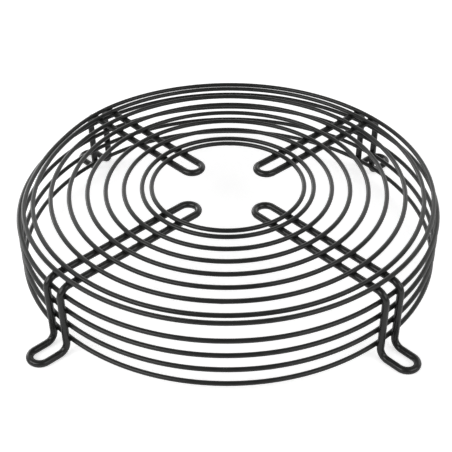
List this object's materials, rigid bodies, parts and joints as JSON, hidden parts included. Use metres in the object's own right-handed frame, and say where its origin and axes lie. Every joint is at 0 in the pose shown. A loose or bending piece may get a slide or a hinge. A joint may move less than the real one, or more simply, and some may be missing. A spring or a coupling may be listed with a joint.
{
  "type": "wire fan guard",
  "caption": "Round basket guard of welded black wire for an axial fan, with concentric face and side rings on hairpin support wires that end in foot loops.",
  "frame": {"origin": "on the fan axis, at the level of the floor that the foot loops stand on, which is the centre of the bounding box's bottom face", "axes": "+Z along the fan axis, from the feet up through the face rings; +X along support wire 1 and +Y along support wire 2"},
  "size_m": [0.2888, 0.2888, 0.0481],
  "materials": {
    "ring_coating": "satin black epoxy powder coating on round steel wire",
    "support_coating": "satin black epoxy powder coating on heavier round steel wire"
  },
  "bodies": {
    "root": {"face_ring_1": "ring_coating", "face_ring_2": "ring_coating", "face_ring_3": "ring_coating", "face_ring_4": "ring_coating", "face_ring_5": "ring_coating", "face_ring_6": "ring_coating", "face_ring_7": "ring_coating", "face_ring_8": "ring_coating", "face_ring_9": "ring_coating", "side_ring_1": "ring_coating", "side_ring_2": "ring_coating", "side_ring_3": "ring_coating", "side_ring_4": "ring_coating", "support_wire_1": "support_coating", "support_wire_2": "support_coating", "support_wire_3": "support_coating", "support_wire_4": "support_coating"}
  },
  "joints": []
}
